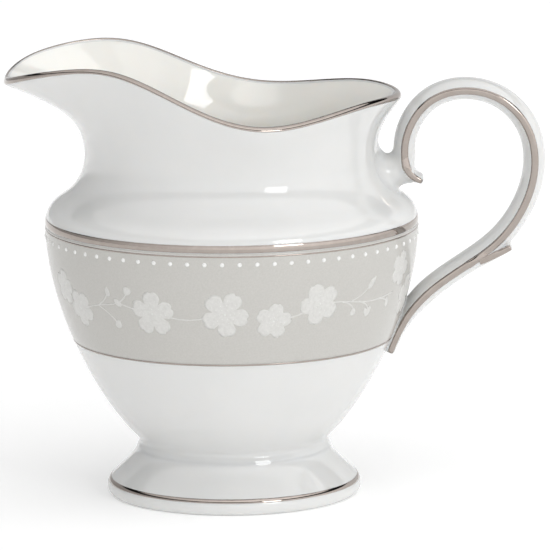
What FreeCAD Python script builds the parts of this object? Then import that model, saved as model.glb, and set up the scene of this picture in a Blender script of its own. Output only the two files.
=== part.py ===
"""Footed bone-china cream jug with fired platinum lines and a printed blossom band.

Millimetres, +Z up. The origin is the centre of the foot's resting ring, on the table.
+X points to the handle and -X to the spout, and the jug is symmetric about Y = 0.
Three clay castings are luted face to face: body, foot and handle. Everything else is
decoration fired on their glaze, modelled as thin solids that lie on the surface below them.
"""
import FreeCAD, Part
import math
import os

from FreeCAD import Placement, Rotation, Vector

# ---- driving dimensions ---------------------------------------------------------------
LUTE_Z = 11.4            # height of the joint between foot and body
LUTE_R = 23.8            # outer radius of that joint
BELLY_R = 45.5           # widest radius of the body
BELLY_Z = 67.0           # height of the widest ring
BELLY_INSIDE_R = 43.2
SHOULDER_R = 40.7        # where the shoulder turns into the neck
SHOULDER_Z = 74.1
NECK_R = 35.7            # narrowest radius of the neck
NECK_Z = 84.0            # above this height the mouth is no longer round
WALL = 2.2               # clay thickness of the neck and mouth
LIP_R = WALL / 2         # the lip is a full round
FLOOR_Z = 15.0           # inside bottom of the bowl, at the axis

FOOT_R = 31.1            # widest radius of the foot's rolled edge
REST_OUT_R = 29.4        # unglazed ring that stands on the table
REST_IN_R = 27.9
HOLLOW_TOP_R = 18.6      # radius of the hollow under the bowl, at the joint

# Lip line by angle from the handle: (degrees, radius, height, wall's angle from level).
# The other half of the mouth mirrors it.
LIP_KEYS = [
    (0, 40.4, 97.7, 52),
    (30, 38.0, 97.8, 62),
    (60, 37.7, 95.6, 66),
    (82, 38.8, 95.1, 64),
    (100, 38.0, 98.5, 74),
    (122, 38.6, 104.8, 78),
    (143, 43.2, 107.4, 66),
    (158, 50.9, 105.4, 44),
    (180, 53.9, 102.3, 20),
]
MERIDIANS = [7.5 * i for i in range(48)]     # angles of the wall sections around the mouth
WALL_STEPS = 8           # spans of each section's wall
LIP_STEPS = 6            # spans of the half-round lip
WALL_PULL = 0.42         # how far each end of the wall keeps its own direction
SECTION_PACE = 100.0     # speed of a mouth section at its two ends, per unit of its length
SEW_GAP = 0.0001
FUSE_GAP = 0.002         # the mouth's lowest ring is a spline, this close to a circle

# Handle: centre line of the ribbon in the plane Y = 0, from tongue tip to tail end.
HANDLE_LINE = [
    (46.6, 77.0), (43.6, 78.9), (42.2, 83.3), (43.5, 90.5), (48.5, 96.8),
    (56.9, 99.3), (66.1, 96.7), (72.3, 89.5), (73.8, 80.5), (71.4, 71.3),
    (65.1, 62.3), (55.7, 55.3), (47.5, 49.2), (42.5, 43.4), (38.3, 34.6),
]
HANDLE_T = 5.3           # thickness across the loop
HANDLE_W = 10.0          # width along Y
EDGE_T = 1.5             # height of the flat side edge that carries the platinum
EDGE_SHARE = 0.6         # but never more than this share of the thickness
TONGUE_T = 2.0           # thickness at the tongue's tip
TAIL_T = 2.6             # thickness at the tail's end
TONGUE_LENGTH = 9.0
TAIL_LENGTH = 18.0
HANDLE_SECTIONS = 40
SPUR_LINE = [(57.5, 56.2), (62.1, 57.9), (65.3, 59.4), (68.1, 60.8)]
SPUR_T = (4.0, 3.4, 2.8, 2.2)
STUB_X = (34.6, 37.6, 41.0, 43.4)       # bridge between the neck and the handle's loop
STUB_LOW = (71.5, 73.9, 75.4, 76.3)
STUB_HIGH = (85.2, 83.4, 82.8, 83.6)
STUB_W = (12.4, 10.0, 9.0, 8.4)

# Decoration, from the surface outwards.
PRINT_T = 0.05           # printed band
ENAMEL_T = 0.12          # blossoms and sprigs on the band
PLATINUM_T = 0.18
BAND_Z = (38.9, 66.9)    # printed band, up to the shoulder's line
LOWER_HAIRLINE_Z = (38.5, 38.9)
UPPER_HAIRLINE_Z = (65.9, 66.3)
SHOULDER_BAND_Z = (67.0, 68.8)
FOOT_BAND_Z = (3.15, 4.1)
DOTS = 68
DOT_Z = 64.2
DOT_BALL_R = 0.6         # each dot is a cap of a ball
DOT_SINK = 0.22          # how deep the ball's centre is under the band

# Blossoms: (degrees from the spout-to-handle front, height, diameter, turn).
BLOSSOMS = [
    (-66, 54.5, 9.0, 10), (-57, 50.2, 9.5, 40), (-25.7, 51.4, 11.5, 0),
    (-2.1, 51.9, 11.8, 30), (13.4, 49.9, 9.2, 10), (28.7, 53.4, 10.8, 50),
    (65.3, 58.3, 9.0, 20), (75, 50.5, 10.5, 0),
]
# Sprigs: chains of (degrees, height) with a bud at every end.
SPRIGS = [
    [(-57, 50.2), (-47, 52.0), (-38.3, 53.4), (-34, 56.3)],
    [(-47, 52.0), (-42, 55.5)],
    [(-47, 52.0), (-40, 48.3)],
    [(-38.3, 53.4), (-32, 52.2), (-25.7, 51.4)],
    [(-25.7, 51.4), (-14, 50.4), (-2.1, 51.9)],
    [(13.4, 49.9), (21, 51.0), (28.7, 53.4)],
    [(28.7, 53.4), (37.8, 53.2), (49.0, 52.2), (63.0, 52.9)],
    [(42.0, 52.9), (49.0, 56.6)],
    [(37.8, 53.2), (42.2, 50.3)],
    [(45.0, 52.6), (49.2, 49.6)],
    [(53.0, 52.4), (59.0, 50.9)],
]
BUD_R = 1.0
STEM_W = 0.5
PETALS = 5
MIDDLE_SHARE = 0.2       # radius of a blossom's middle, as a share of its diameter
PETAL_SHARE = 0.21       # radius of a petal
REACH_SHARE = 0.28       # distance of a petal's centre
PRINT_MARGIN = 2.0       # enamel keeps this far from the edges of the printed band

Y_AXIS = Vector(0, 1, 0)
Z_AXIS = Vector(0, 0, 1)
ORIGIN = Vector(0, 0, 0)


# ---- small helpers --------------------------------------------------------------------
def rz(radius, height):
    """A point of a profile, drawn in the plane Y = 0."""
    return Vector(radius, 0, height)


def bezier(*points):
    curve = Part.BezierCurve()
    curve.setPoles([rz(*point) for point in points])
    return curve.toShape()


def line(a, b):
    return Part.makeLine(rz(*a), rz(*b))


def turned(edges):
    """The solid that a closed profile sweeps about the Z axis."""
    return Part.Face(Part.Wire(edges)).revolve(ORIGIN, Z_AXIS, 360)


def slab(low, high, radius=2 * BELLY_R):
    return Part.makeCylinder(radius, high - low, Vector(0, 0, low))


def around(angle):
    """Unit vector at an angle from the front, which is -Y; positive is towards +X."""
    return Vector(math.sin(math.radians(angle)), -math.cos(math.radians(angle)), 0)


# ---- body -----------------------------------------------------------------------------
def outer_edges(grow=0.0):
    """Outside of the turned part, from the lute to the neck, moved out by grow."""
    chains = (
        ((LUTE_R, LUTE_Z), (23.4, 12.9), (22.3, 13.1), (24.4, 15.2)),
        ((24.4, 15.2), (32.9, 23.6), (BELLY_R, 46.3), (BELLY_R, BELLY_Z)),
        ((BELLY_R, BELLY_Z), (BELLY_R, 71.3), (43.0, 72.4), (SHOULDER_R, SHOULDER_Z)),
        ((SHOULDER_R, SHOULDER_Z), (38.2, 76.0), (NECK_R, 79.2), (NECK_R, NECK_Z)),
    )
    return [bezier(*[(r + grow, z) for r, z in chain]) for chain in chains]


def inner_edges():
    """Inside of the turned part, from the neck down to the middle of the floor."""
    neck = NECK_R - WALL
    belly = BELLY_INSIDE_R
    return [
        bezier((neck, NECK_Z), (neck, 78.3), (35.4, 75.2), (38.4, 72.5)),
        bezier((38.4, 72.5), (40.9, 70.2), (belly, 69.6), (belly, 66.8)),
        bezier((belly, 66.8), (belly, 45.0), (29.1, 20.1), (20.6, 16.4)),
        bezier((20.6, 16.4), (17.4, FLOOR_Z), (9.0, FLOOR_Z), (0, FLOOR_Z)),
    ]


def closed_spline(points, degrees):
    """Smooth closed curve that passes each point at its own angle."""
    turns = [math.radians(angle) for angle in degrees] + [2 * math.pi]
    curve = Part.BSplineCurve()
    curve.interpolate(Points=points, PeriodicFlag=True, Parameters=turns)
    return curve


def lip_curve():
    """Radius, height and wall angle of the lip as one closed curve over the angle."""
    mirrored = [(360 - a, r, z, slope) for a, r, z, slope in LIP_KEYS[-2:0:-1]]
    keys = LIP_KEYS + mirrored
    return closed_spline([Vector(*key[1:]) for key in keys], [key[0] for key in keys])


LIP = lip_curve()


def mouth_section(angle):
    """One section of the mouth: up the outside, over the lip, down the inside."""
    radius, height, slope = LIP.value(math.radians(angle))
    slope = math.radians(slope)
    along = Vector(math.cos(slope), 0, math.sin(slope))
    outward = Vector(math.sin(slope), 0, -math.cos(slope))
    centre = rz(radius, height)
    walls = []
    for foot, top in ((rz(NECK_R, NECK_Z), centre + outward * LIP_R),
                      (rz(NECK_R - WALL, NECK_Z), centre - outward * LIP_R)):
        pull = WALL_PULL * (top - foot).Length
        curve = Part.BezierCurve()
        curve.setPoles([foot, foot + Z_AXIS * pull, top - along * pull, top])
        walls.append([curve.value(i / WALL_STEPS) for i in range(WALL_STEPS + 1)])
    lip = []
    for i in range(1, LIP_STEPS):
        turn = math.pi * i / LIP_STEPS
        lip.append(centre + outward * (LIP_R * math.cos(turn)) + along * (LIP_R * math.sin(turn)))
    spin = Rotation(Z_AXIS, angle)
    return [spin.multVec(point) for point in walls[0] + lip + walls[1][::-1]]


def lip_ring(angle, radius, count=12):
    """One section of a round tube that follows the lip's centre."""
    at, height, _ = LIP.value(math.radians(angle))
    spin = Rotation(Z_AXIS, angle)
    points = []
    for i in range(count):
        turn = 2 * math.pi * i / count
        points.append(spin.multVec(rz(at + radius * math.cos(turn), height + radius * math.sin(turn))))
    return points


def skin_through(sections, ring_sections):
    """B-spline face through closed rows of points, one section for each angle."""
    angles = [360 * i / len(sections) for i in range(len(sections))]
    rows = []
    for section in sections:
        curve = Part.BSplineCurve()
        if ring_sections:
            steps = [i / len(section) for i in range(len(section) + 1)]
            curve.interpolate(Points=section, PeriodicFlag=True, Parameters=steps)
        else:
            steps = [i / (len(section) - 1) for i in range(len(section))]
            curve.interpolate(Points=section, Parameters=steps, InitialTangent=Z_AXIS * SECTION_PACE,
                              FinalTangent=Z_AXIS * -SECTION_PACE, Scale=False)
        rows.append(curve)
    columns = [closed_spline(list(poles), angles) for poles in zip(*[row.getPoles() for row in rows])]
    poles = [list(row) for row in zip(*[column.getPoles() for column in columns])]
    along, across = columns[0], rows[0]
    surface = Part.BSplineSurface()
    surface.buildFromPolesMultsKnots(
        poles, along.getMultiplicities(), across.getMultiplicities(),
        along.getKnots(), across.getKnots(), True, ring_sections, 3, 3)
    return surface.toShape()


def make_mouth():
    """The mouth above the neck, closed below by the ring where it meets the turned wall."""
    skin = skin_through([mouth_section(angle) for angle in MERIDIANS], False)
    circles = [edge for edge in skin.Edges if edge.isClosed()]
    ring = Part.Face([Part.Wire([circle]) for circle in circles])
    closed = Part.makeCompound([skin, ring])
    closed.sewShape(SEW_GAP)
    return Part.Solid(closed.Shells[0])


def make_body():
    base = [line((0, FLOOR_Z), (0, LUTE_Z)), line((0, LUTE_Z), (LUTE_R, LUTE_Z))]
    ring = [line((NECK_R, NECK_Z), (NECK_R - WALL, NECK_Z))]
    wall = turned(base + outer_edges() + ring + inner_edges())
    return wall.fuse([make_mouth()], FUSE_GAP).Solids[0]


def make_rim_platinum(body):
    """Platinum that wraps the round lip and thins out on both sides of the wall."""
    tube = skin_through([lip_ring(angle, LIP_R + PLATINUM_T) for angle in MERIDIANS], True)
    solid = Part.Solid(Part.Shell([tube]))
    if solid.Volume < 0:
        solid.reverse()
    return solid.cut(body)


# ---- foot -----------------------------------------------------------------------------
def foot_outline(grow=0.0):
    """Flared cone, rolled edge and underside of the foot's outer face, moved out by grow."""
    return [
        bezier((LUTE_R + grow, LUTE_Z), (24.2 + grow, 9.7), (26.9 + grow, 7.1), (29.7 + grow, 4.6)),
        bezier((29.7 + grow, 4.6), (30.7 + grow, 3.7), (FOOT_R + grow, 2.9), (FOOT_R + grow, 2.0)),
        bezier((FOOT_R + grow, 2.0), (FOOT_R + grow, 0.8), (30.5 + grow, 0), (REST_OUT_R + grow, 0)),
    ]


def make_foot():
    hollow = [
        bezier((REST_IN_R, 0), (27.1, 0), (26.6, 2.4), (24.6, 4.2)),
        bezier((24.6, 4.2), (21.6, 6.9), (HOLLOW_TOP_R, 7.6), (HOLLOW_TOP_R, LUTE_Z)),
    ]
    rest = line((REST_OUT_R, 0), (REST_IN_R, 0))
    return turned(foot_outline() + [rest] + hollow + [line((HOLLOW_TOP_R, LUTE_Z), (LUTE_R, LUTE_Z))])


def foot_core(grow=0.0):
    rim = REST_OUT_R + grow
    closing = [line((rim, 0), (0, 0)), line((0, 0), (0, LUTE_Z)), line((0, LUTE_Z), (LUTE_R + grow, LUTE_Z))]
    return turned(foot_outline(grow) + closing)


# ---- handle ---------------------------------------------------------------------------
def ribbon_section(point, along, thickness, width):
    """Pointed oval across the ribbon, with flat side edges where it carries platinum."""
    out = Vector(-along.z, 0, along.x)
    half = width / 2
    edge = min(EDGE_T, EDGE_SHARE * thickness) / 2
    top, bottom = out * (thickness / 2), out * (-thickness / 2)
    high, low = out * edge, out * -edge
    side = Y_AXIS * half
    return Part.Wire([
        Part.Arc(point + high - side, point + top, point + high + side).toShape(),
        Part.makeLine(point + high + side, point + low + side),
        Part.Arc(point + low + side, point + bottom, point + low - side).toShape(),
        Part.makeLine(point + low - side, point + high - side),
    ])


def through(points):
    curve = Part.BSplineCurve()
    curve.interpolate([rz(*point) for point in points])
    return curve


def ease(x):
    """Smooth step from 0 to 1."""
    x = max(0.0, min(1.0, x))
    return x * x * (3 - 2 * x)


def handle_thickness(distance, length):
    tongue = TONGUE_T + (HANDLE_T - TONGUE_T) * ease(distance / TONGUE_LENGTH)
    tail = TAIL_T + (HANDLE_T - TAIL_T) * ease((length - distance) / TAIL_LENGTH)
    return min(tongue, tail)


def make_loop():
    curve = through(HANDLE_LINE)
    length = curve.length()
    wires = []
    for i in range(HANDLE_SECTIONS + 1):
        distance = length * i / HANDLE_SECTIONS
        at = curve.parameterAtDistance(distance)
        along = curve.tangent(at)[0]
        wires.append(ribbon_section(curve.value(at), along, handle_thickness(distance, length), HANDLE_W))
    return Part.makeLoft(wires, True)


def make_spur():
    curve = through(SPUR_LINE)
    wires = []
    for i, thickness in enumerate(SPUR_T):
        at = curve.FirstParameter + (curve.LastParameter - curve.FirstParameter) * i / (len(SPUR_T) - 1)
        wires.append(ribbon_section(curve.value(at), curve.tangent(at)[0], thickness, HANDLE_W))
    return Part.makeLoft(wires, True)


def make_stub():
    """Bridge from the neck to the outer side of the loop, an oval that narrows on its way."""
    wires = []
    for x, low, high, width in zip(STUB_X, STUB_LOW, STUB_HIGH, STUB_W):
        tall, half = (high - low) / 2, width / 2
        centre = Vector(x, 0, (low + high) / 2)
        if tall > half:
            oval = Part.Ellipse(centre + Z_AXIS * tall, centre + Y_AXIS * half, centre)
        else:
            oval = Part.Ellipse(centre + Y_AXIS * half, centre + Z_AXIS * tall, centre)
        wires.append(Part.Wire([oval.toShape()]))
    return Part.makeLoft(wires, True)


def make_handle(body):
    """The casting outside the wall; what the cut leaves inside the bowl is dropped."""
    pieces = make_loop().fuse([make_spur(), make_stub()]).cut(body).Solids
    return max(pieces, key=lambda piece: piece.Volume)


def make_handle_line(side):
    """Platinum strip on the flat edge of the ribbon, on side +1 (+Y) or -1 (-Y)."""
    curve = through(HANDLE_LINE)
    length = curve.length()
    rails = [[], []]
    for i in range(HANDLE_SECTIONS + 1):
        distance = length * i / HANDLE_SECTIONS
        at = curve.parameterAtDistance(distance)
        along = curve.tangent(at)[0]
        out = Vector(-along.z, 0, along.x)
        edge = min(EDGE_T, EDGE_SHARE * handle_thickness(distance, length)) / 2
        rails[0].append(curve.value(at) + out * edge)
        rails[1].append(curve.value(at) - out * edge)
    edges = []
    for rail in rails:
        spline = Part.BSplineCurve()
        spline.interpolate(rail)
        edges.append(spline.toShape())
    edges.append(Part.makeLine(rails[0][0], rails[1][0]))
    edges.append(Part.makeLine(rails[0][-1], rails[1][-1]))
    strip = Part.Face(Part.Wire(Part.sortEdges(edges)[0]))
    strip.translate(Y_AXIS * (side * HANDLE_W / 2))
    return strip.extrude(Y_AXIS * (side * PLATINUM_T))


# ---- decoration on the body and foot --------------------------------------------------
def body_core(grow):
    """Filled solid inside the turned outside, moved out by grow."""
    closing = [line((NECK_R + grow, NECK_Z), (0, NECK_Z)), line((0, NECK_Z), (0, LUTE_Z)),
               line((0, LUTE_Z), (LUTE_R + grow, LUTE_Z))]
    return turned(outer_edges(grow) + closing)


def body_film(inside, outside, low, high):
    return body_core(outside).cut(body_core(inside)).common(slab(low, high))


def make_foot_band():
    return foot_core(PLATINUM_T).cut(foot_core()).common(slab(*FOOT_BAND_Z))


def radial_peg(angle, height, radius):
    """Round peg that crosses the wall square to it."""
    return Part.makeCylinder(radius, BELLY_R, around(angle) * (BELLY_R / 2) + Z_AXIS * height, around(angle))


def make_blossoms(layer):
    """Five round petals about a middle, for each blossom."""
    pieces = []
    for angle, height, size, turn in BLOSSOMS:
        pegs = [radial_peg(angle, height, MIDDLE_SHARE * size)]
        for petal in range(PETALS):
            way = math.radians(turn + 360 * petal / PETALS)
            reach = REACH_SHARE * size
            swing = math.degrees(reach * math.sin(way) / BELLY_R)
            pegs.append(radial_peg(angle + swing, height + reach * math.cos(way), PETAL_SHARE * size))
        pieces.append(pegs[0].fuse(pegs[1:]).common(layer))
    return pieces


def make_sprigs(layer, blossoms):
    """Thin stems between the blossoms, each with a bud at its end."""
    pieces = []
    for chain in SPRIGS:
        pegs = [radial_peg(*chain[-1], BUD_R)]
        for (a0, z0), (a1, z1) in zip(chain, chain[1:]):
            across = math.radians(a1 - a0) * BELLY_R
            run = math.hypot(across, z1 - z0)
            stem = Part.makeBox(run, BELLY_R, STEM_W, Vector(-run / 2, -1.5 * BELLY_R, -STEM_W / 2))
            stem.rotate(ORIGIN, Y_AXIS, -math.degrees(math.atan2(z1 - z0, across)))
            stem.Placement = Placement(Z_AXIS * ((z0 + z1) / 2), Rotation(Z_AXIS, (a0 + a1) / 2)).multiply(
                stem.Placement)
            pegs.append(stem)
        pieces.append(pegs[0].fuse(pegs[1:]).common(layer))
    whole = pieces[0].fuse(pieces[1:])
    return whole.cut(Part.makeCompound(blossoms))


def make_dots():
    core = body_core(PRINT_T).common(slab(DOT_Z - 3, DOT_Z + 3))
    radius = max(vertex.X for vertex in core.common(slab(DOT_Z - 0.001, DOT_Z + 0.001)).Vertexes)
    ball = Part.makeSphere(DOT_BALL_R, around(0) * (radius - DOT_SINK) + Z_AXIS * DOT_Z)
    dot = ball.cut(core)
    dots = []
    for i in range(DOTS):
        copy = dot.copy()
        copy.rotate(ORIGIN, Z_AXIS, 360 * i / DOTS)
        dots.append(copy)
    return dots


def both_sides(pieces):
    """The pieces and the same pieces half a turn round the jug."""
    turned_back = []
    for piece in pieces:
        copy = piece.copy()
        copy.rotate(ORIGIN, Z_AXIS, 180)
        turned_back.append(copy)
    return Part.makeCompound(list(pieces) + turned_back)


def main():
    os.makedirs("parts", exist_ok=True)
    body = make_body()
    layer = body_film(PRINT_T, PRINT_T + ENAMEL_T, BAND_Z[0] + PRINT_MARGIN, BAND_Z[1] - PRINT_MARGIN)
    blossoms = make_blossoms(layer)
    sprigs = make_sprigs(layer, blossoms)
    nodes = {
        "body": body,
        "foot": make_foot(),
        "handle": make_handle(body),
        "rim_platinum": make_rim_platinum(body),
        "shoulder_platinum": body_film(0, PLATINUM_T, *SHOULDER_BAND_Z),
        "upper_hairline": body_film(PRINT_T, PRINT_T + PLATINUM_T, *UPPER_HAIRLINE_Z),
        "lower_hairline": body_film(0, PLATINUM_T, *LOWER_HAIRLINE_Z),
        "foot_platinum": make_foot_band(),
        "handle_line_front": make_handle_line(-1),
        "handle_line_back": make_handle_line(1),
        "printed_band": body_film(0, PRINT_T, *BAND_Z),
        "enamel_dots": Part.makeCompound(make_dots()),
        "enamel_blossoms": both_sides(blossoms),
        "enamel_sprigs": both_sides(sprigs.Solids),
    }
    for name, shape in nodes.items():
        print(name, len(shape.Solids), round(shape.Volume, 2), shape.isValid())
        shape.exportStep("parts/" + name + ".step")


main()
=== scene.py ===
"""Looks of the bone-china cream jug: smooth glazed clay, fired platinum, printed band, enamel.

Lengths in the geometry are millimetres in the CAD's frame; build() turns them into metres.
+X points to the handle, -X to the spout, and the jug is symmetric about Y = 0.
"""
import bpy
import math
import numpy as np
from mathutils import Matrix, Vector


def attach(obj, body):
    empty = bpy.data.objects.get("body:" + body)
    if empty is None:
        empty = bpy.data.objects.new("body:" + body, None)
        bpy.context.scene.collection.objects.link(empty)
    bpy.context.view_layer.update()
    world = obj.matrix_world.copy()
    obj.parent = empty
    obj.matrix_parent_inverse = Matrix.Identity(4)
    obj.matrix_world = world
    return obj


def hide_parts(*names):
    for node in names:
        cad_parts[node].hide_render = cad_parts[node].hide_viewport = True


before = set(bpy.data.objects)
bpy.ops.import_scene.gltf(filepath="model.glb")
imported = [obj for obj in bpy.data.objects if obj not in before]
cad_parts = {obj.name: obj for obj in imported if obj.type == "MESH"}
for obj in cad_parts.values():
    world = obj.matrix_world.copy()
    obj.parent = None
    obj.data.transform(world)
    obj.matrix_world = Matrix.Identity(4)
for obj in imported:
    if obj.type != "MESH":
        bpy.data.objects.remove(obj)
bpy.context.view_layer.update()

MM = 0.001

# ---- driving dimensions; those of the clay are the CAD's ----------------------------------
LUTE_Z = 11.4
LUTE_R = 23.8
BELLY_R = 45.5
BELLY_Z = 67.0
SHOULDER_R = 40.7
SHOULDER_Z = 74.1
NECK_R = 35.7
NECK_Z = 84.0
WALL = 2.2
LIP_R = WALL / 2
FLOOR_Z = 15.0
HOLLOW_R = 43.2          # widest place inside the bowl
AXIS_R = 0.6             # hole at the axis that cap() closes

FOOT_R = 31.1
FOOT_TOP_R = 18.6        # foot's hollow where it meets the bowl
REST_OUT_R = 29.4
REST_IN_R = 27.9

LIP_KEYS = [
    (0, 40.4, 97.7, 52),
    (30, 38.0, 97.8, 62),
    (60, 37.7, 95.6, 66),
    (82, 38.8, 95.1, 64),
    (100, 38.0, 98.5, 74),
    (122, 38.6, 104.8, 78),
    (143, 43.2, 107.4, 66),
    (158, 50.9, 105.4, 44),
    (180, 53.9, 102.3, 20),
]
WALL_PULL = 0.42

HANDLE_LINE = [
    (46.6, 77.0), (43.6, 78.9), (42.2, 83.3), (43.5, 90.5), (48.5, 96.8),
    (56.9, 99.3), (66.1, 96.7), (72.3, 89.5), (73.8, 80.5), (71.4, 71.3),
    (65.1, 62.3), (55.7, 55.3), (47.5, 49.2), (42.5, 43.4), (38.3, 34.6),
]
HANDLE_T = 5.3
HANDLE_W = 10.0
EDGE_T = 1.5
TONGUE_T = 2.0
TAIL_T = 2.6
TONGUE_LENGTH = 9.0
TAIL_LENGTH = 18.0
SPUR_LINE = [(57.5, 56.2), (62.1, 57.9), (65.3, 59.4), (68.1, 60.8)]
SPUR_T = (4.0, 3.4, 2.8, 2.2)
STUB_X = (34.6, 37.6, 41.0, 43.4)
STUB_LOW = (71.5, 73.9, 75.4, 76.3)
STUB_HIGH = (85.2, 83.4, 82.8, 83.6)
STUB_W = (12.4, 10.0, 9.0, 8.4)

BAND_Z = (38.9, 66.9)
LOWER_HAIRLINE_Z = (38.5, 38.9)
UPPER_HAIRLINE_Z = (65.9, 66.3)
SHOULDER_BAND_Z = (67.0, 68.8)
FOOT_BAND_Z = (3.15, 4.1)
DOTS = 68
DOT_Z = 64.2
DOT_R = 0.55
DOT_RISE = 0.26

# How proud each layer stands of the one below it; all thinner than the solids of the CAD.
PLATINUM_T = 0.08
PRINT_T = 0.03
ENAMEL_T = 0.10
SUNK = 0.02              # how far a layer's hidden side reaches into the one below
NARROW = 3.0             # a layer less tall than this is domed
DOMED, FLAT = 0.8, 0.35  # exponents of a layer's edge: rounded, or level with quick edges

# Blossoms: (degrees from the front, height, diameter, turn).
BLOSSOMS = [
    (-66, 54.5, 9.0, 10), (-57, 50.2, 9.5, 40), (-25.7, 51.4, 11.5, 0),
    (-2.1, 51.9, 11.8, 30), (13.4, 49.9, 9.2, 10), (28.7, 53.4, 10.8, 50),
    (65.3, 58.3, 9.0, 20), (75, 50.5, 10.5, 0),
]
PETALS = 5
# Stems between them, as chains of (degrees, height).
STEMS = [
    [(-54, 50.6), (-47, 52.0), (-38.3, 53.4), (-34, 56.3)],
    [(-47, 52.0), (-44, 53.6), (-42, 55.5)],
    [(-47, 52.0), (-43, 50.4), (-40, 48.3)],
    [(-38.3, 53.4), (-32, 52.2), (-27, 51.4)],
    [(-24, 51.4), (-14, 50.4), (-4, 51.7)],
    [(14, 50.0), (21, 51.0), (27, 53.0)],
    [(30, 53.4), (37.8, 53.2), (49.0, 52.2), (62.0, 52.9)],
    [(41.0, 53.0), (45.0, 54.3), (48.0, 55.9)],
    [(37.0, 53.2), (40.5, 52.2), (42.2, 50.8)],
    [(44.0, 52.7), (47.5, 51.6), (49.2, 50.1)],
    [(52.0, 52.3), (56.0, 52.0), (59.0, 51.2)],
]
# Buds and leaves: (degrees, height, length, width, turn from level).
BUDS = [
    (-34, 56.6, 2.3, 2.1, 0), (-42, 55.8, 2.6, 1.4, 100), (-39.6, 47.9, 2.3, 1.9, 60),
    (-38.3, 53.4, 2.6, 1.5, 140), (42.2, 50.2, 2.0, 1.7, 90), (49.3, 49.6, 2.8, 1.7, 55),
    (47.9, 49.8, 1.6, 1.2, 110), (59.2, 50.8, 2.6, 1.6, 95), (49.2, 56.8, 3.8, 1.5, 52),
]

AROUND = 240             # vertices round the jug
MOUTH_ROWS = 26          # points up the wall from the neck to the lip
STEM_WIDTH = 0.42


# ---- curves -------------------------------------------------------------------------------
def bezier(points, count):
    """Points of a cubic Bezier, evenly spaced in its parameter, both ends included."""
    p = np.asarray(points, float)
    t = np.linspace(0, 1, count)[:, None]
    s = 1 - t
    return s ** 3 * p[0] + 3 * s * s * t * p[1] + 3 * s * t * t * p[2] + t ** 3 * p[3]


def chain(*pieces):
    """Rows joined end to end; a row that repeats the one before it is left out."""
    rows = [pieces[0]]
    for piece in pieces[1:]:
        rows.append(piece[1:])
    return np.concatenate(rows)


def spline(keys, values, closed=False):
    """Cubic spline through the values at the keys, as a function. Closed ones repeat after the last key."""
    x, y = np.asarray(keys, float), np.asarray(values, float)
    n = len(x) - 1
    h = np.diff(x)
    slope = np.diff(y, axis=0) / h[:, None]
    a = np.zeros((n + 1, n + 1))
    b = np.zeros((n + 1, y.shape[1]))
    for i in range(1, n):
        a[i, i - 1:i + 2] = h[i - 1], 2 * (h[i - 1] + h[i]), h[i]
        b[i] = 6 * (slope[i] - slope[i - 1])
    if closed:
        a[0, [0, 1, n - 1]] = 2 * (h[0] + h[-1]), h[0], h[-1]
        b[0] = 6 * (slope[0] - slope[-1])
        a[n, [0, n]] = 1, -1
    else:
        a[0, 0] = a[n, n] = 1
    m = np.linalg.solve(a, b)

    def value(at):
        at = np.atleast_1d(np.asarray(at, float))
        i = np.clip(np.searchsorted(x, at, side="right") - 1, 0, n - 1)
        u, v = (x[i + 1] - at)[:, None], (at - x[i])[:, None]
        w = h[i][:, None]
        return (m[i] * u ** 3 + m[i + 1] * v ** 3) / (6 * w) + (y[i] / w - m[i] * w / 6) * u \
            + (y[i + 1] / w - m[i + 1] * w / 6) * v
    return value


def lip_function():
    """Radius, height and wall angle of the lip over the angle in degrees."""
    keys = LIP_KEYS + [(360 - a, r, z, s) for a, r, z, s in LIP_KEYS[-2::-1]]
    return spline([key[0] for key in keys], [key[1:] for key in keys], closed=True)


LIP = lip_function()


def bowl_outside():
    return chain(
        bezier([(LUTE_R, LUTE_Z), (23.4, 12.9), (22.3, 13.1), (24.4, 15.2)], 16),
        bezier([(24.4, 15.2), (32.9, 23.6), (BELLY_R, 46.3), (BELLY_R, BELLY_Z)], 40),
        bezier([(BELLY_R, BELLY_Z), (BELLY_R, 71.3), (43.0, 72.4), (SHOULDER_R, SHOULDER_Z)], 20),
        bezier([(SHOULDER_R, SHOULDER_Z), (38.2, 76.0), (NECK_R, 79.2), (NECK_R, NECK_Z)], 18))


def bowl_inside():
    neck = NECK_R - WALL
    return chain(
        bezier([(neck, NECK_Z), (neck, 78.3), (35.4, 75.2), (38.4, 72.5)], 14),
        bezier([(38.4, 72.5), (40.9, 70.2), (HOLLOW_R, 69.6), (HOLLOW_R, 66.8)], 12),
        bezier([(HOLLOW_R, 66.8), (HOLLOW_R, 45.0), (29.1, 20.1), (20.6, 16.4)], 36),
        bezier([(20.6, 16.4), (17.4, FLOOR_Z), (9.0, FLOOR_Z), (AXIS_R, FLOOR_Z)], 12))


def mouth_directions(angle):
    """Lip centre, the wall's way up and its way out, at one angle, as (radius, height)."""
    radius, height, slope = LIP(angle % 360)[0]
    slope = math.radians(slope)
    return (np.array([radius, height]), np.array([math.cos(slope), math.sin(slope)]),
            np.array([math.sin(slope), -math.cos(slope)]))


def mouth_wall(angle, foot, side):
    """The wall from the neck at foot up to the lip, outside (side 1) or inside (side -1)."""
    centre, along, out = mouth_directions(angle)
    top = centre + out * (side * LIP_R)
    foot = np.array(foot)
    pull = WALL_PULL * np.linalg.norm(top - foot)
    return bezier([foot, foot + (0, pull), top - along * pull, top], MOUTH_ROWS)


def lip_arc(angle, radius, low, high, count):
    """Arc about the lip's centre; 0 degrees is straight out of the outer wall, 180 out of the inner."""
    centre, along, out = mouth_directions(angle)
    turns = np.radians(np.linspace(low, high, count))[:, None]
    return centre + radius * (np.cos(turns) * out + np.sin(turns) * along)


def inner_wall(angle):
    """The inside of the wall at one angle, from the lip down to the middle of the floor."""
    return chain(mouth_wall(angle, (NECK_R - WALL, NECK_Z), -1)[::-1], bowl_inside())


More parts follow.
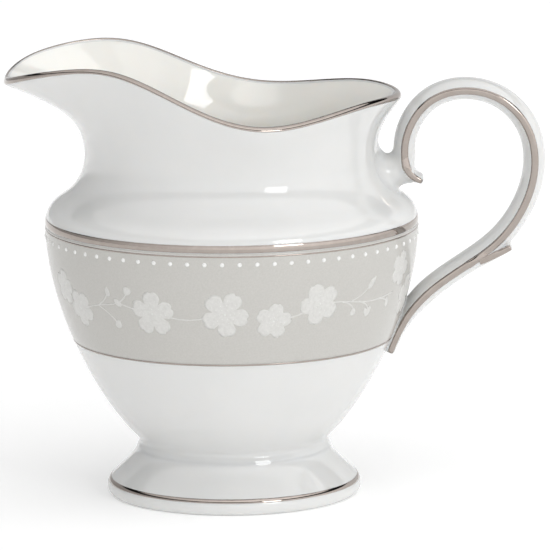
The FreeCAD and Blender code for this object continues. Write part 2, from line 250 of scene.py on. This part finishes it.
def body_section(angle):
    """The whole wall at one angle, from the middle underneath, over the lip, to the middle inside."""
    under = np.linspace((AXIS_R, LUTE_Z), (LUTE_R, LUTE_Z), 8)
    return chain(
        under, bowl_outside(),
        mouth_wall(angle, (NECK_R, NECK_Z), 1),
        lip_arc(angle, LIP_R, 0, 180, 15),
        inner_wall(angle))


# ---- meshes -------------------------------------------------------------------------------
def build(name, points, faces, material, replaces=(), slot=None, sharp=None):
    """One mesh object from points in millimetres."""
    mesh = bpy.data.meshes.new(name)
    mesh.from_pydata((np.asarray(points) * MM).tolist(), [], faces)
    mesh.polygons.foreach_set("use_smooth", [True] * len(mesh.polygons))
    mesh.update()
    piece = bpy.data.objects.new(name, mesh)
    bpy.context.scene.collection.objects.link(piece)
    piece.data.materials.append(material)
    if sharp:
        piece.data.set_sharp_from_angle(angle=math.radians(sharp))
    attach(piece, "root")
    if replaces:
        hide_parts(*replaces)
    return piece


def spin(section, angle):
    """A section in (radius, height) turned to an angle about Z; 0 is +X."""
    a = math.radians(angle)
    return np.c_[section[:, 0] * math.cos(a), section[:, 0] * math.sin(a), section[:, 1]]


def grid_faces(rows, columns, closed_rows=True, closed_columns=False, start=0):
    """Quads of a grid of vertices, stored row by row."""
    faces = []
    for i in range(rows if closed_rows else rows - 1):
        k = (i + 1) % rows
        for j in range(columns if closed_columns else columns - 1):
            n = (j + 1) % columns
            faces.append((start + i * columns + j, start + k * columns + j,
                          start + k * columns + n, start + i * columns + n))
    return faces


def turned_shell(section_at, closed):
    """Vertices and quads of a section carried round Z. section_at gives it at an angle."""
    angles = [360 * i / AROUND for i in range(AROUND)]
    sections = [spin(section_at(angle), angle) for angle in angles]
    count = len(sections[0])
    return np.concatenate(sections), grid_faces(AROUND, count, True, closed)


def cap(faces, points, column, count, height, flip):
    """Closes the small hole at the axis with a fan to one vertex."""
    middle = len(points)
    for i in range(AROUND):
        a, b = i * count + column, ((i + 1) % AROUND) * count + column
        faces.append((b, a, middle) if flip else (a, b, middle))
    return np.r_[points, [(0, 0, height)]]


def make_body(outside, inside):
    """The whole wall as one shell, with a lighter, warmer copy of the porcelain on its inner faces: painted
    light inside the bowl.
    """
    points, faces = turned_shell(body_section, False)
    count = len(body_section(0))
    inner = count - len(inner_wall(0))
    points = cap(faces, points, 0, count, LUTE_Z, True)
    points = cap(faces, points, count - 1, count, FLOOR_Z, False)
    piece = build("glazed_body", points, faces, outside, ("body",), "porcelain", 40)
    piece.data.materials.append(inside)
    is_inner = [j >= inner for j in range(count - 1)] * AROUND + [False] * AROUND + [True] * AROUND
    piece.data.polygons.foreach_set("material_index", [int(flag) for flag in is_inner])
    return piece


def foot_outside():
    return chain(
        bezier([(LUTE_R, LUTE_Z), (24.2, 9.7), (26.9, 7.1), (29.7, 4.6)], 20),
        bezier([(29.7, 4.6), (30.7, 3.7), (FOOT_R, 2.9), (FOOT_R, 2.0)], 14),
        bezier([(FOOT_R, 2.0), (FOOT_R, 0.8), (30.5, 0), (REST_OUT_R, 0)], 12))


def foot_section(_angle):
    rest = np.linspace((REST_OUT_R, 0), (REST_IN_R, 0), 4)
    hollow = chain(
        bezier([(REST_IN_R, 0), (27.1, 0), (26.6, 2.4), (24.6, 4.2)], 10),
        bezier([(24.6, 4.2), (21.6, 6.9), (FOOT_TOP_R, 7.6), (FOOT_TOP_R, LUTE_Z)], 14))
    top = np.linspace((FOOT_TOP_R, LUTE_Z), (LUTE_R, LUTE_Z), 3)[:-1]
    return chain(foot_outside(), rest, hollow, top)


def make_foot(material):
    points, faces = turned_shell(foot_section, True)
    faces = [face[::-1] for face in faces]
    return build("glazed_foot", points, faces, material, ("foot",), "porcelain", 50)


# ---- layers on the turned surfaces ----------------------------------------------------------
def with_normals(profile):
    """A profile's points and their outward normals in (radius, height)."""
    ways = np.gradient(profile, axis=0)
    ways /= np.linalg.norm(ways, axis=1)[:, None]
    return profile, np.c_[ways[:, 1], -ways[:, 0]]


def heights(profile):
    """Radius and normal at a height, for the outside of the bowl or the foot."""
    points, normals = with_normals(profile)
    if points[0, 1] > points[-1, 1]:
        points, normals = points[::-1], -normals[::-1]

    def at(z):
        z = np.atleast_1d(z)
        radius = np.interp(z, points[:, 1], points[:, 0])
        n = np.stack([np.interp(z, points[:, 1], part) for part in normals.T], 1)
        return np.c_[radius, z], n / np.linalg.norm(n, axis=1)[:, None]
    return at


def fine(profile_of):
    """The same outline with many more points, so that heights are read off it smoothly."""
    rows = profile_of()
    lengths = np.r_[0, np.cumsum(np.linalg.norm(np.diff(rows, axis=0), axis=1))]
    at = np.linspace(0, lengths[-1], 1200)
    return np.c_[np.interp(at, lengths, rows[:, 0]), np.interp(at, lengths, rows[:, 1])]


BOWL_AT = heights(fine(bowl_outside))
FOOT_AT = heights(fine(foot_outside))


def swell(rows, exponent):
    """How far a layer stands up across its width, from 0 over 1 to 0."""
    return np.sin(np.linspace(0, math.pi, rows)) ** exponent


def film_section(surface, low, high, rise, rows):
    """Closed outline of a layer on a turned surface, domed when it is narrow."""
    z = np.linspace(low, high, rows)
    at, normal = surface(z)
    edge = swell(rows, DOMED if high - low < NARROW else FLAT)
    outer = at + normal * (rise * edge)[:, None]
    inner = at - normal * SUNK
    return np.r_[outer, inner[::-1]]


def make_film(name, surface, span, rise, rows, material, node, slot):
    section = film_section(surface, *span, rise, rows)
    points, faces = turned_shell(lambda angle: section, True)
    return build(name, points, faces, material, (node,), slot)


def make_rim(material):
    """Platinum over the top of the lip, thinning out on both of its sides."""
    low, high, rows = 30, 152, 15

    def section(angle):
        rise = PLATINUM_T * swell(rows, FLAT)
        arc = lip_arc(angle, 1.0, low, high, rows)
        centre = mouth_directions(angle)[0]
        outer = centre + (arc - centre) * (LIP_R + rise)[:, None]
        inner = centre + (arc - centre) * (LIP_R - SUNK)
        return np.r_[outer, inner[::-1]]
    points, faces = turned_shell(section, True)
    return build("rim_line", points, faces, material, ("rim_platinum",), "platinum")


# ---- raised enamel ----------------------------------------------------------------------------
def lay(u, v, rise, angle, height):
    """Points at (u across, v up) from a place on the band, raised off it. angle is from the front."""
    at, normal = BOWL_AT(height + np.asarray(v, float))
    base = BOWL_AT(height)[0][0, 0]
    turn = math.radians(angle - 90) + np.asarray(u, float) / base
    ring = at + normal * (PRINT_T + np.asarray(rise, float))[:, None]
    return np.c_[ring[:, 0] * np.cos(turn), ring[:, 0] * np.sin(turn), ring[:, 1]]


def plaque(outline, domed, angle, height, rings=7):
    """Low raised shape: outline(t) gives its edge in (u, v); domed(t, share) its rise from 0 to 1."""
    count = 60
    t = np.linspace(0, 2 * math.pi, count, endpoint=False)
    edge = outline(t)
    u, v, rise = [], [], []
    for share in np.linspace(0, 1, rings)[1:]:
        u.append(edge[:, 0] * share)
        v.append(edge[:, 1] * share)
        rise.append(np.broadcast_to(ENAMEL_T * domed(t, share), t.shape))
    u.append(edge[:, 0])
    v.append(edge[:, 1])
    rise.append(np.full(count, -SUNK))
    points = [lay(np.concatenate(u), np.concatenate(v), np.concatenate(rise), angle, height)]
    points.append(lay([0], [0], [ENAMEL_T * float(domed(0.0, 0.0))], angle, height))
    points.append(lay([0], [0], [-SUNK], angle, height))
    top, bottom = count * rings, count * rings + 1
    faces = [(j, (j + 1) % count, top) for j in range(count)]
    for i in range(rings - 1):
        for j in range(count):
            n = (j + 1) % count
            faces.append((i * count + n, i * count + j, (i + 1) * count + j, (i + 1) * count + n))
    last = (rings - 1) * count
    faces += [(last + (j + 1) % count, last + j, bottom) for j in range(count)]
    return np.concatenate(points), [face[::-1] for face in faces]


def petal_edge(size, turn):
    def outline(t):
        way = (t - math.radians(turn)) * PETALS / 2
        lobe = np.abs(np.cos(way)) ** 0.45
        notch = 0.09 * np.exp(-(np.sin(way) / 0.16) ** 2)
        r = size / 2 * (0.50 + 0.50 * lobe - notch)
        return np.c_[r * np.sin(t), r * np.cos(t)]
    return outline


def petal_rise(turn):
    def domed(t, share):
        way = (t - math.radians(turn)) * PETALS / 2
        valley = 0.35 * np.abs(np.sin(way)) ** 6 * min(1.0, share * 1.6)
        edge = 1 - max(0.0, (share - 0.8) / 0.2) ** 2 * 0.55
        return (0.55 + 0.45 * math.sin(min(1.0, share * 1.2) * math.pi)) * edge - valley * 0.5
    return domed


def oval_edge(length, width, turn):
    def outline(t):
        along, across = length / 2 * np.cos(t), width / 2 * np.sin(t) * (1 - 0.22 * np.cos(t))
        c, s = math.cos(math.radians(turn)), math.sin(math.radians(turn))
        return np.c_[along * c - across * s, along * s + across * c][::-1]
    return outline


def round_rise(t, share):
    return 1 - 0.75 * share * share


def bead(angle, height, radius, rise):
    """A single round drop of enamel."""
    return plaque(lambda t: np.c_[radius * np.sin(t), radius * np.cos(t)],
                  lambda t, share: rise / ENAMEL_T * math.sqrt(max(0.0, 1 - share * share)),
                  angle, height, 5)


def stem(points, width):
    """Thin raised line through chained places on the band."""
    line = spline(range(len(points)), points)(np.linspace(0, len(points) - 1, 12 * len(points)))
    base = BELLY_R * math.pi / 180
    flat = np.c_[line[:, 0] * base, line[:, 1]]
    way = np.gradient(flat, axis=0)
    way /= np.linalg.norm(way, axis=1)[:, None]
    side = np.c_[-way[:, 1], way[:, 0]]
    rows = []
    slope, crest = 0.5 * ENAMEL_T, 0.8 * ENAMEL_T
    for share, rise in ((-1, -SUNK), (-0.7, slope), (0, crest), (0.7, slope), (1, -SUNK)):
        at = flat + side * (share * width / 2)
        rows.append([lay([0], [0], [rise], a / base, z)[0] for a, z in at])
    rows = np.array(rows)
    count, length = rows.shape[:2]
    points3 = rows.transpose(1, 0, 2).reshape(-1, 3)
    faces = grid_faces(length, count, False, True)
    faces.append(tuple(range(count)))
    faces.append(tuple((length - 1) * count + j for j in reversed(range(count))))
    return points3, [face[::-1] for face in faces]


def joined(parts):
    """Several pieces' points and faces as one."""
    points, faces, start = [], [], 0
    for p, f in parts:
        points.append(p)
        faces += [tuple(start + i for i in face) for face in f]
        start += len(p)
    return np.concatenate(points), faces


def turned_back(part):
    """The same piece half a turn round the jug."""
    points, faces = part
    return points * (-1, -1, 1), faces


def stamens(angle, height, size, turn):
    """Stippled middle of a blossom: a bead and two rings of small beads."""
    base = BOWL_AT(height)[0][0, 0]
    beads = [(0, 0, 0.34)]
    for ring, count, radius in ((0.11, 6, 0.16), (0.2, 10, 0.15), (0.3, 10, 0.13)):
        for i in range(count):
            way = 2 * math.pi * (i + 0.5 * (count == 10)) / count + math.radians(turn)
            beads.append((ring * size * math.sin(way), ring * size * math.cos(way), radius))
    return [bead(angle + math.degrees(u / base), height + v, r, ENAMEL_T + 0.07) for u, v, r in beads]


def make_blossoms(material, stipple):
    flowers, middles = [], []
    for angle, height, size, turn in BLOSSOMS:
        flowers.append(plaque(petal_edge(size, turn), petal_rise(turn), angle, height, 9))
        middles += stamens(angle, height, size, turn)
    flowers += [turned_back(part) for part in flowers]
    middles += [turned_back(part) for part in middles]
    build("blossom_petals", *joined(flowers), material, ("enamel_blossoms",), "blossom")
    build("blossom_stamens", *joined(middles), stipple, (), "enamel")


def make_sprigs(material):
    parts = [stem(points, STEM_WIDTH) for points in STEMS]
    parts += [plaque(oval_edge(length, width, turn), round_rise, angle, height, 5)
              for angle, height, length, width, turn in BUDS]
    parts += [turned_back(part) for part in parts]
    build("sprig_stems", *joined(parts), material, ("enamel_sprigs",), "blossom")


def make_dots(material):
    parts = [bead(360 * (i + 0.5) / DOTS, DOT_Z, DOT_R, DOT_RISE) for i in range(DOTS)]
    build("dot_row", *joined(parts), material, ("enamel_dots",), "enamel")


# ---- handle -----------------------------------------------------------------------------------
GRID = 0.36              # spacing of the field that the handle's surface is found in
STRIDE = 30              # samples of a ribbon's line between the ones looked at first
SOFT_EDGE = 0.35         # rounding of the ribbon's edges
SOFT_BRIDGE = 2.2        # rounding where the bridge flows into the ribbon
SOFT_SPUR = 0.8          # rounding where the spur leaves the ribbon
HANDLE_LOW = (33.0, -10.0, 31.0)        # box that the handle's surface is looked for in
HANDLE_HIGH = (79.0, 10.0, 104.0)
STRIP_COLUMNS = 7        # points across a platinum edge line


def smooth_min(a, b, k):
    h = np.clip(0.5 + 0.5 * (b - a) / k, 0, 1)
    return b + (a - b) * h - k * h * (1 - h)


def smooth_max(a, b, k):
    return -smooth_min(-a, -b, k)


def ease(x):
    x = np.clip(x, 0, 1)
    return x * x * (3 - 2 * x)


class Ribbon:
    """A ribbon along a line in the plane Y = 0, with a thickness that follows its length."""

    def __init__(self, line, thickness):
        chords = np.r_[0, np.cumsum(np.linalg.norm(np.diff(line, axis=0), axis=1))]
        curve = spline(chords, line)
        self.at = curve(np.linspace(0, chords[-1], 900))
        self.s = np.r_[0, np.cumsum(np.linalg.norm(np.diff(self.at, axis=0), axis=1))]
        self.way = np.gradient(self.at, self.s, axis=0)
        self.way /= np.linalg.norm(self.way, axis=1)[:, None]
        self.length = self.s[-1]
        self.thickness = thickness

    def locate(self, x, z):
        """Distance along the line and across it, for points in the plane."""
        coarse = self.at[::STRIDE]
        near = (x[:, None] - coarse[:, 0]) ** 2 + (z[:, None] - coarse[:, 1]) ** 2
        window = near.argmin(axis=1)[:, None] * STRIDE + np.arange(-STRIDE, STRIDE + 1)
        window = np.clip(window, 0, len(self.at) - 1)
        close = (x[:, None] - self.at[window, 0]) ** 2 + (z[:, None] - self.at[window, 1]) ** 2
        place = window[np.arange(len(x)), close.argmin(axis=1)]
        dx, dz = x - self.at[place, 0], z - self.at[place, 1]
        way = self.way[place]
        return self.s[place] + dx * way[:, 0] + dz * way[:, 1], -dx * way[:, 1] + dz * way[:, 0]

    def edge(self, s):
        return np.minimum(EDGE_T, 0.6 * self.thickness(s, self.length)) / 2

    def field(self, s, n, y):
        """Rough signed distance to the ribbon's surface, negative inside."""
        half = self.thickness(np.clip(s, 0, self.length), self.length) / 2
        edge = self.edge(np.clip(s, 0, self.length))
        rise = half - edge
        crown = ((HANDLE_W / 2) ** 2 + rise ** 2) / (2 * rise)
        top = np.hypot(y, n - (half - crown)) - crown
        bottom = np.hypot(y, n + (half - crown)) - crown
        d = smooth_max(top, bottom, SOFT_EDGE)
        d = smooth_max(d, np.abs(y) - HANDLE_W / 2, SOFT_EDGE)
        return smooth_max(d, np.maximum(-s, s - self.length), 2 * SOFT_EDGE)


def loop_thickness(s, length):
    tongue = TONGUE_T + (HANDLE_T - TONGUE_T) * ease(s / TONGUE_LENGTH)
    tail = TAIL_T + (HANDLE_T - TAIL_T) * ease((length - s) / TAIL_LENGTH)
    return np.minimum(tongue, tail)


def spur_thickness(s, length):
    return np.interp(s / length, np.linspace(0, 1, len(SPUR_T)), SPUR_T)


LOOP = Ribbon(HANDLE_LINE, loop_thickness)
SPUR = Ribbon(SPUR_LINE, spur_thickness)


def stub_field(x, y, z):
    low, high = np.interp(x, STUB_X, STUB_LOW), np.interp(x, STUB_X, STUB_HIGH)
    half, tall = np.interp(x, STUB_X, STUB_W) / 2, (high - low) / 2
    d = (np.hypot((z - (low + high) / 2) / tall, y / half) - 1) * np.minimum(half, tall)
    return np.maximum(d, x - STUB_X[-1])


def wall_field(x, y, z):
    """Rough signed distance to the outside of the body near the handle."""
    rows = chain(bowl_outside(), mouth_wall(0, (NECK_R, NECK_Z), 1))
    points, normals = with_normals(rows)
    radius = np.interp(z, points[:, 1], points[:, 0])
    lean = np.interp(z, points[:, 1], normals[:, 0])
    return (np.hypot(x, y) - radius) * np.maximum(lean, 0.5)


def handle_field(x, y, z, loop, spur):
    d = smooth_min(LOOP.field(*loop, y), stub_field(x, y, z), SOFT_BRIDGE)
    d = smooth_min(d, SPUR.field(*spur, y), SOFT_SPUR)
    wall = wall_field(x, y, z)
    fillet = 0.7 + 1.8 * ease((z - 60) / 10)
    filled = smooth_min(d, wall, fillet)
    return np.maximum(np.maximum(filled, -(wall + 0.5)), d - 0.95 * fillet)


def field_at(points):
    x, y, z = points.T
    return handle_field(x, y, z, LOOP.locate(x, z), SPUR.locate(x, z))


def surface_nets(f, low, step):
    """Vertices and quads where the field f, sampled on a grid, changes sign."""
    total = np.zeros([n - 1 for n in f.shape] + [3])
    count = np.zeros([n - 1 for n in f.shape])
    crossings = []
    for axis in range(3):
        first = tuple(slice(0, -1) if i == axis else slice(None) for i in range(3))
        second = tuple(slice(1, None) if i == axis else slice(None) for i in range(3))
        a, b = f[first], f[second]
        cut = (a < 0) != (b < 0)
        place = np.argwhere(cut)
        at = place.astype(float)
        at[:, axis] += a[cut] / (a[cut] - b[cut])
        o1, o2 = [(1, 2), (2, 0), (0, 1)][axis]
        corners = []
        for d1, d2 in ((0, 0), (-1, 0), (-1, -1), (0, -1)):
            cell = place.copy()
            cell[:, o1] += d1
            cell[:, o2] += d2
            np.add.at(total, tuple(cell.T), at)
            np.add.at(count, tuple(cell.T), 1)
            corners.append(cell)
        crossings.append((corners, a[cut] < 0))
    used = count > 0
    number = np.full(count.shape, -1)
    number[used] = np.arange(used.sum())
    points = total[used] / count[used][:, None] * step + low
    faces = []
    for corners, leaving in crossings:
        quads = np.stack([number[tuple(cell.T)] for cell in corners], 1)
        quads[~leaving] = quads[~leaving][:, ::-1]
        faces += quads.tolist()
    return points, faces


def slope_at(points):
    h = 0.02
    ways = [field_at(points + step) - field_at(points - step) for step in h * np.eye(3)]
    return np.stack(ways, 1) / (2 * h)


def settle(points, rounds=3):
    """Moves points straight onto the handle's surface, and gives the outward way there."""
    for _ in range(rounds):
        way = slope_at(points)
        size = np.maximum((way ** 2).sum(1), 0.2)
        step = np.clip(field_at(points) / size, -0.3, 0.3)
        points = points - way * step[:, None]
    way = slope_at(points)
    return points, way / np.linalg.norm(way, axis=1)[:, None]


def make_handle(material):
    low, high = np.array(HANDLE_LOW), np.array(HANDLE_HIGH)
    counts = np.ceil((high - low) / GRID).astype(int) + 1
    xs, ys, zs = [low[i] + GRID * np.arange(counts[i]) for i in range(3)]
    x2, z2 = [part.ravel() for part in np.meshgrid(xs, zs, indexing="ij")]
    shape = (len(xs), 1, len(zs))
    loop = [part.reshape(shape) for part in LOOP.locate(x2, z2)]
    spur = [part.reshape(shape) for part in SPUR.locate(x2, z2)]
    x, y, z = np.meshgrid(xs, ys, zs, indexing="ij")
    f = handle_field(x, y, z, loop, spur)
    points, faces = surface_nets(f, low, GRID)
    points, _ = settle(points)
    return build("glazed_handle", points, faces, material, ("handle",), "porcelain")


def edge_strip(ribbon, first, last, side, rows=220):
    """Platinum on one side edge of a ribbon, from one length along it to another."""
    columns = STRIP_COLUMNS
    across = np.linspace(-1.05, 1.05, columns)
    s = np.linspace(first, last, rows)
    at = np.c_[np.interp(s, ribbon.s, ribbon.at[:, 0]), np.interp(s, ribbon.s, ribbon.at[:, 1])]
    way = np.c_[np.interp(s, ribbon.s, ribbon.way[:, 0]), np.interp(s, ribbon.s, ribbon.way[:, 1])]
    out = np.c_[-way[:, 1], way[:, 0]]
    edge = ribbon.edge(s)
    start = []
    for share in across:
        inset = 0.05 + 0.25 * share ** 2
        point = at + out * (share * edge)[:, None]
        start.append(np.c_[point[:, 0], np.full(rows, side * (HANDLE_W / 2 - inset)), point[:, 1]])
    start = np.stack(start, 1)
    on, normal = settle(start.reshape(-1, 3))
    rise = np.tile(PLATINUM_T * swell(columns, FLAT), rows)[:, None]
    outer = (on + normal * rise).reshape(rows, columns, 3)
    inner = (on - normal * SUNK).reshape(rows, columns, 3)
    ring = np.concatenate([outer, inner[:, ::-1]], 1)
    loop = 2 * columns
    faces = grid_faces(rows, loop, False, True)
    faces.append(tuple(range(loop)))
    faces.append(tuple((rows - 1) * loop + j for j in reversed(range(loop))))
    if side < 0:
        faces = [face[::-1] for face in faces]
    return ring.reshape(-1, 3), faces


def make_handle_lines(material):
    for side, name in ((-1, "front"), (1, "back")):
        parts = [edge_strip(LOOP, 0.3, LOOP.length - 0.3, side),
                 edge_strip(SPUR, 3.0, SPUR.length - 0.2, side, 50)]
        build("edge_line_" + name, *joined(parts), material, ("handle_line_" + name,), "platinum")


# ---- materials --------------------------------------------------------------------------------
def material(name):
    """A new node material, its tree, its shader and a coordinate in metres."""
    mat = bpy.data.materials.new(name)
    mat.use_nodes = True
    nodes = mat.node_tree.nodes
    shader = nodes["Principled BSDF"]
    place = nodes.new("ShaderNodeTexCoord").outputs["Object"]
    return mat, mat.node_tree, shader, place


def grey(level):
    return (level, level, level)


def noise(tree, place, scale, detail=3.0, rough=0.55):
    node = tree.nodes.new("ShaderNodeTexNoise")
    node.inputs["Scale"].default_value = scale
    node.inputs["Detail"].default_value = detail
    node.inputs["Roughness"].default_value = rough
    tree.links.new(place, node.inputs["Vector"])
    return node.outputs["Fac"]


def ramp(tree, value, stops):
    node = tree.nodes.new("ShaderNodeValToRGB")
    elements = node.color_ramp.elements
    for element, (at, colour) in zip(elements, (stops[0], stops[-1])):
        element.position = at
        element.color = (*colour, 1)
    for at, colour in stops[1:-1]:
        elements.new(at).color = (*colour, 1)
    tree.links.new(value, node.inputs["Fac"])
    return node.outputs["Color"]


def span(tree, value, low, high):
    node = tree.nodes.new("ShaderNodeMapRange")
    node.inputs["To Min"].default_value = low
    node.inputs["To Max"].default_value = high
    tree.links.new(value, node.inputs["Value"])
    return node.outputs["Result"]


def bump(tree, shader, value, distance, strength=1.0, socket="Normal"):
    node = tree.nodes.new("ShaderNodeBump")
    node.inputs["Distance"].default_value = distance
    node.inputs["Strength"].default_value = strength
    tree.links.new(value, node.inputs["Height"])
    tree.links.new(node.outputs["Normal"], shader.inputs[socket])


def porcelain(name, low, high):
    """White bone china under a clear glaze: faint clouding, light scattered inside."""
    mat, tree, shader, place = material(name)
    cloud = noise(tree, place, 60, 4)
    colour = ramp(tree, cloud, [(0.3, low), (0.7, high)])
    tree.links.new(colour, shader.inputs["Base Color"])
    tree.links.new(span(tree, noise(tree, place, 140), 0.02, 0.06), shader.inputs["Roughness"])
    shader.inputs["IOR"].default_value = 1.52
    shader.inputs["Subsurface Weight"].default_value = 0.5
    shader.inputs["Subsurface Radius"].default_value = (1.0, 0.9, 0.8)
    shader.inputs["Subsurface Scale"].default_value = 0.002
    bump(tree, shader, noise(tree, place, 70, 1), 0.00001, 0.15)
    return mat


def platinum():
    """Burnished platinum lustre: warm grey mirror, faintly mottled."""
    mat, tree, shader, place = material("platinum_lustre")
    cloud = noise(tree, place, 500, 5)
    colour = ramp(tree, cloud, [(0.25, (0.36, 0.315, 0.285)), (0.6, (0.39, 0.345, 0.315)),
                                (0.85, (0.43, 0.385, 0.355))])
    tree.links.new(colour, shader.inputs["Base Color"])
    tree.links.new(span(tree, noise(tree, place, 900), 0.03, 0.09), shader.inputs["Roughness"])
    shader.inputs["Metallic"].default_value = 1.0
    bump(tree, shader, noise(tree, place, 1500, 2), 0.00002, 0.4)
    return mat


def printed():
    """Warm grey transfer print under gloss, with a fine even grain."""
    mat, tree, shader, place = material("grey_print")
    grain = noise(tree, place, 2600, 2)
    colour = ramp(tree, grain, [(0.35, (0.465, 0.455, 0.43)), (0.65, (0.495, 0.485, 0.46))])
    tree.links.new(colour, shader.inputs["Base Color"])
    tree.links.new(span(tree, noise(tree, place, 300), 0.10, 0.2), shader.inputs["Roughness"])
    shader.inputs["IOR"].default_value = 1.5
    bump(tree, shader, grain, 0.00001, 0.3)
    return mat


def enamel(name, low, high, rough, grain_scale):
    """Raised enamel: softly glossy, with a fine grain."""
    mat, tree, shader, place = material(name)
    grain = noise(tree, place, grain_scale, 4)
    tree.links.new(ramp(tree, grain, [(0.35, low), (0.65, high)]), shader.inputs["Base Color"])
    tree.links.new(span(tree, grain, rough - 0.06, rough + 0.08), shader.inputs["Roughness"])
    shader.inputs["IOR"].default_value = 1.5
    bump(tree, shader, grain, 0.00006, 0.6)
    return mat


# ---- studio -----------------------------------------------------------------------------------
AIM = Vector((0.01045, 0, 0.0535))
CAMERA_DISTANCE = 1.467
CAMERA_HEIGHT_ANGLE = 10.3
CAMERA_ROLL = -0.5
SENSOR = 36              # width in millimetres
LENS = 392.7

# Brightness of the tent against the sine of the elevation.
TENT = [(0.0, grey(0.58)), (0.42, grey(0.58)), (0.45, grey(0.01)),
        (0.64, grey(0.01)), (0.68, grey(0.78)), (1.0, grey(0.70))]
# What that is multiplied by, on the dim side and on the bright side.
TENT_DIM = 0.8
TENT_BRIGHT = 2.8
BRIGHT_SIDE = (0.66, -0.75, 0)          # ahead and to the right
TABLE_GLOW = 0.2         # the table is a sheet lit faintly from below
TABLE_HALF = 6.0         # metres


def add_camera():
    camera = bpy.data.objects.new("camera", bpy.data.cameras.new("camera"))
    camera.data.lens = LENS
    camera.data.sensor_width = SENSOR
    camera.data.clip_end = 20
    up = math.radians(CAMERA_HEIGHT_ANGLE)
    camera.location = AIM + Vector((0, -math.cos(up), math.sin(up))) * CAMERA_DISTANCE
    turn = (AIM - camera.location).to_track_quat("-Z", "Y").to_matrix()
    roll = Matrix.Rotation(math.radians(CAMERA_ROLL), 3, "Z")
    camera.rotation_euler = (turn @ roll).to_euler()
    bpy.context.scene.collection.objects.link(camera)
    bpy.context.scene.camera = camera


def add_softbox(name, azimuth, elevation, distance, size, radiance, target=(0, 0, 0.06)):
    """Rectangular light, placed by its direction from the jug.

    Azimuth 0 is the camera's side, and more is further to the right.
    """
    a, e = math.radians(azimuth), math.radians(elevation)
    light = bpy.data.lights.new(name, "AREA")
    light.shape = "RECTANGLE"
    light.size, light.size_y = size
    light.energy = radiance * math.pi * size[0] * size[1]
    lamp = bpy.data.objects.new(name, light)
    way = Vector((math.sin(a) * math.cos(e), -math.cos(a) * math.cos(e), math.sin(e)))
    lamp.location = Vector(target) + way * distance
    lamp.rotation_euler = (-way).to_track_quat("-Z", "Y").to_euler()
    bpy.context.scene.collection.objects.link(lamp)


def add_floor():
    mat, tree, shader, place = material("white_table")
    colour = ramp(tree, noise(tree, place, 30), [(0.3, grey(0.89)), (0.7, grey(0.91))])
    tree.links.new(colour, shader.inputs["Base Color"])
    shader.inputs["Roughness"].default_value = 0.6
    shader.inputs["Emission Color"].default_value = (1, 1, 1, 1)
    shader.inputs["Emission Strength"].default_value = TABLE_GLOW
    mesh = bpy.data.meshes.new("table_top")
    half = TABLE_HALF
    corners = [(-half, -half, 0), (half, -half, 0), (half, half, 0), (-half, half, 0)]
    mesh.from_pydata(corners, [], [(0, 1, 2, 3)])
    floor = bpy.data.objects.new("table_top", mesh)
    mesh.materials.append(mat)
    bpy.context.scene.collection.objects.link(floor)


def add_world():
    """White tent, open in a dark strip above the camera, brighter overhead and ahead on the right."""
    world = bpy.data.worlds.new("studio")
    world.use_nodes = True
    tree = world.node_tree
    background = tree.nodes["Background"]
    background.inputs["Color"].default_value = (1, 1, 1, 1)
    way = tree.nodes.new("ShaderNodeTexCoord").outputs["Generated"]
    axes = tree.nodes.new("ShaderNodeSeparateXYZ")
    tree.links.new(way, axes.inputs[0])
    height = ramp(tree, axes.outputs["Z"], TENT)
    facing = tree.nodes.new("ShaderNodeVectorMath")
    facing.operation = "DOT_PRODUCT"
    facing.inputs[1].default_value = BRIGHT_SIDE
    tree.links.new(way, facing.inputs[0])
    side = tree.nodes.new("ShaderNodeMapRange")
    side.inputs["From Min"].default_value = -1
    side.inputs["To Min"].default_value = TENT_DIM
    side.inputs["To Max"].default_value = TENT_BRIGHT
    tree.links.new(facing.outputs["Value"], side.inputs["Value"])
    power = tree.nodes.new("ShaderNodeMath")
    power.operation = "MULTIPLY"
    tree.links.new(height, power.inputs[0])
    tree.links.new(side.outputs["Result"], power.inputs[1])
    tree.links.new(power.outputs[0], background.inputs["Strength"])
    bpy.context.scene.world = world


def add_studio():
    add_floor()
    add_world()
    add_softbox("key_window", 36, 23, 1.3, (0.38, 0.3), 6.5)
    bpy.context.scene.view_settings.view_transform = "Standard"


def main():
    clay = porcelain("bone_china", (0.655, 0.658, 0.65), (0.675, 0.676, 0.668))
    # Inside of the bowl: the same porcelain painted lighter and warmer, as painted light for the light
    # bouncing round inside it.
    inside_painted_light = porcelain("bone_china_painted_light_inside", (0.80, 0.795, 0.765), (0.825, 0.817, 0.785))
    metal, print_ = platinum(), printed()
    petals = enamel("blossom_enamel", (0.55, 0.545, 0.525), (0.605, 0.60, 0.58), 0.3, 1400)
    white = enamel("white_enamel", (0.72, 0.72, 0.71), (0.77, 0.77, 0.76), 0.2, 1800)
    stipple = enamel("stamen_enamel", (0.66, 0.665, 0.645), (0.72, 0.725, 0.705), 0.25, 1800)
    make_body(clay, inside_painted_light)
    make_foot(clay)
    make_handle(clay)
    make_rim(metal)
    for name, surface, between, rise, rows, node in (
            ("shoulder_line", BOWL_AT, SHOULDER_BAND_Z, PLATINUM_T, 9, "shoulder_platinum"),
            ("upper_hair_line", BOWL_AT, UPPER_HAIRLINE_Z, PRINT_T + PLATINUM_T, 5, "upper_hairline"),
            ("lower_hair_line", BOWL_AT, LOWER_HAIRLINE_Z, PLATINUM_T, 5, "lower_hairline"),
            ("foot_line", FOOT_AT, FOOT_BAND_Z, PLATINUM_T, 9, "foot_platinum")):
        make_film(name, surface, between, rise, rows, metal, node, "platinum")
    make_handle_lines(metal)
    make_film("grey_band", BOWL_AT, BAND_Z, PRINT_T, 60, print_, "printed_band", "print")
    make_dots(white)
    make_blossoms(petals, stipple)
    make_sprigs(petals)
    add_studio()
    add_camera()


main()
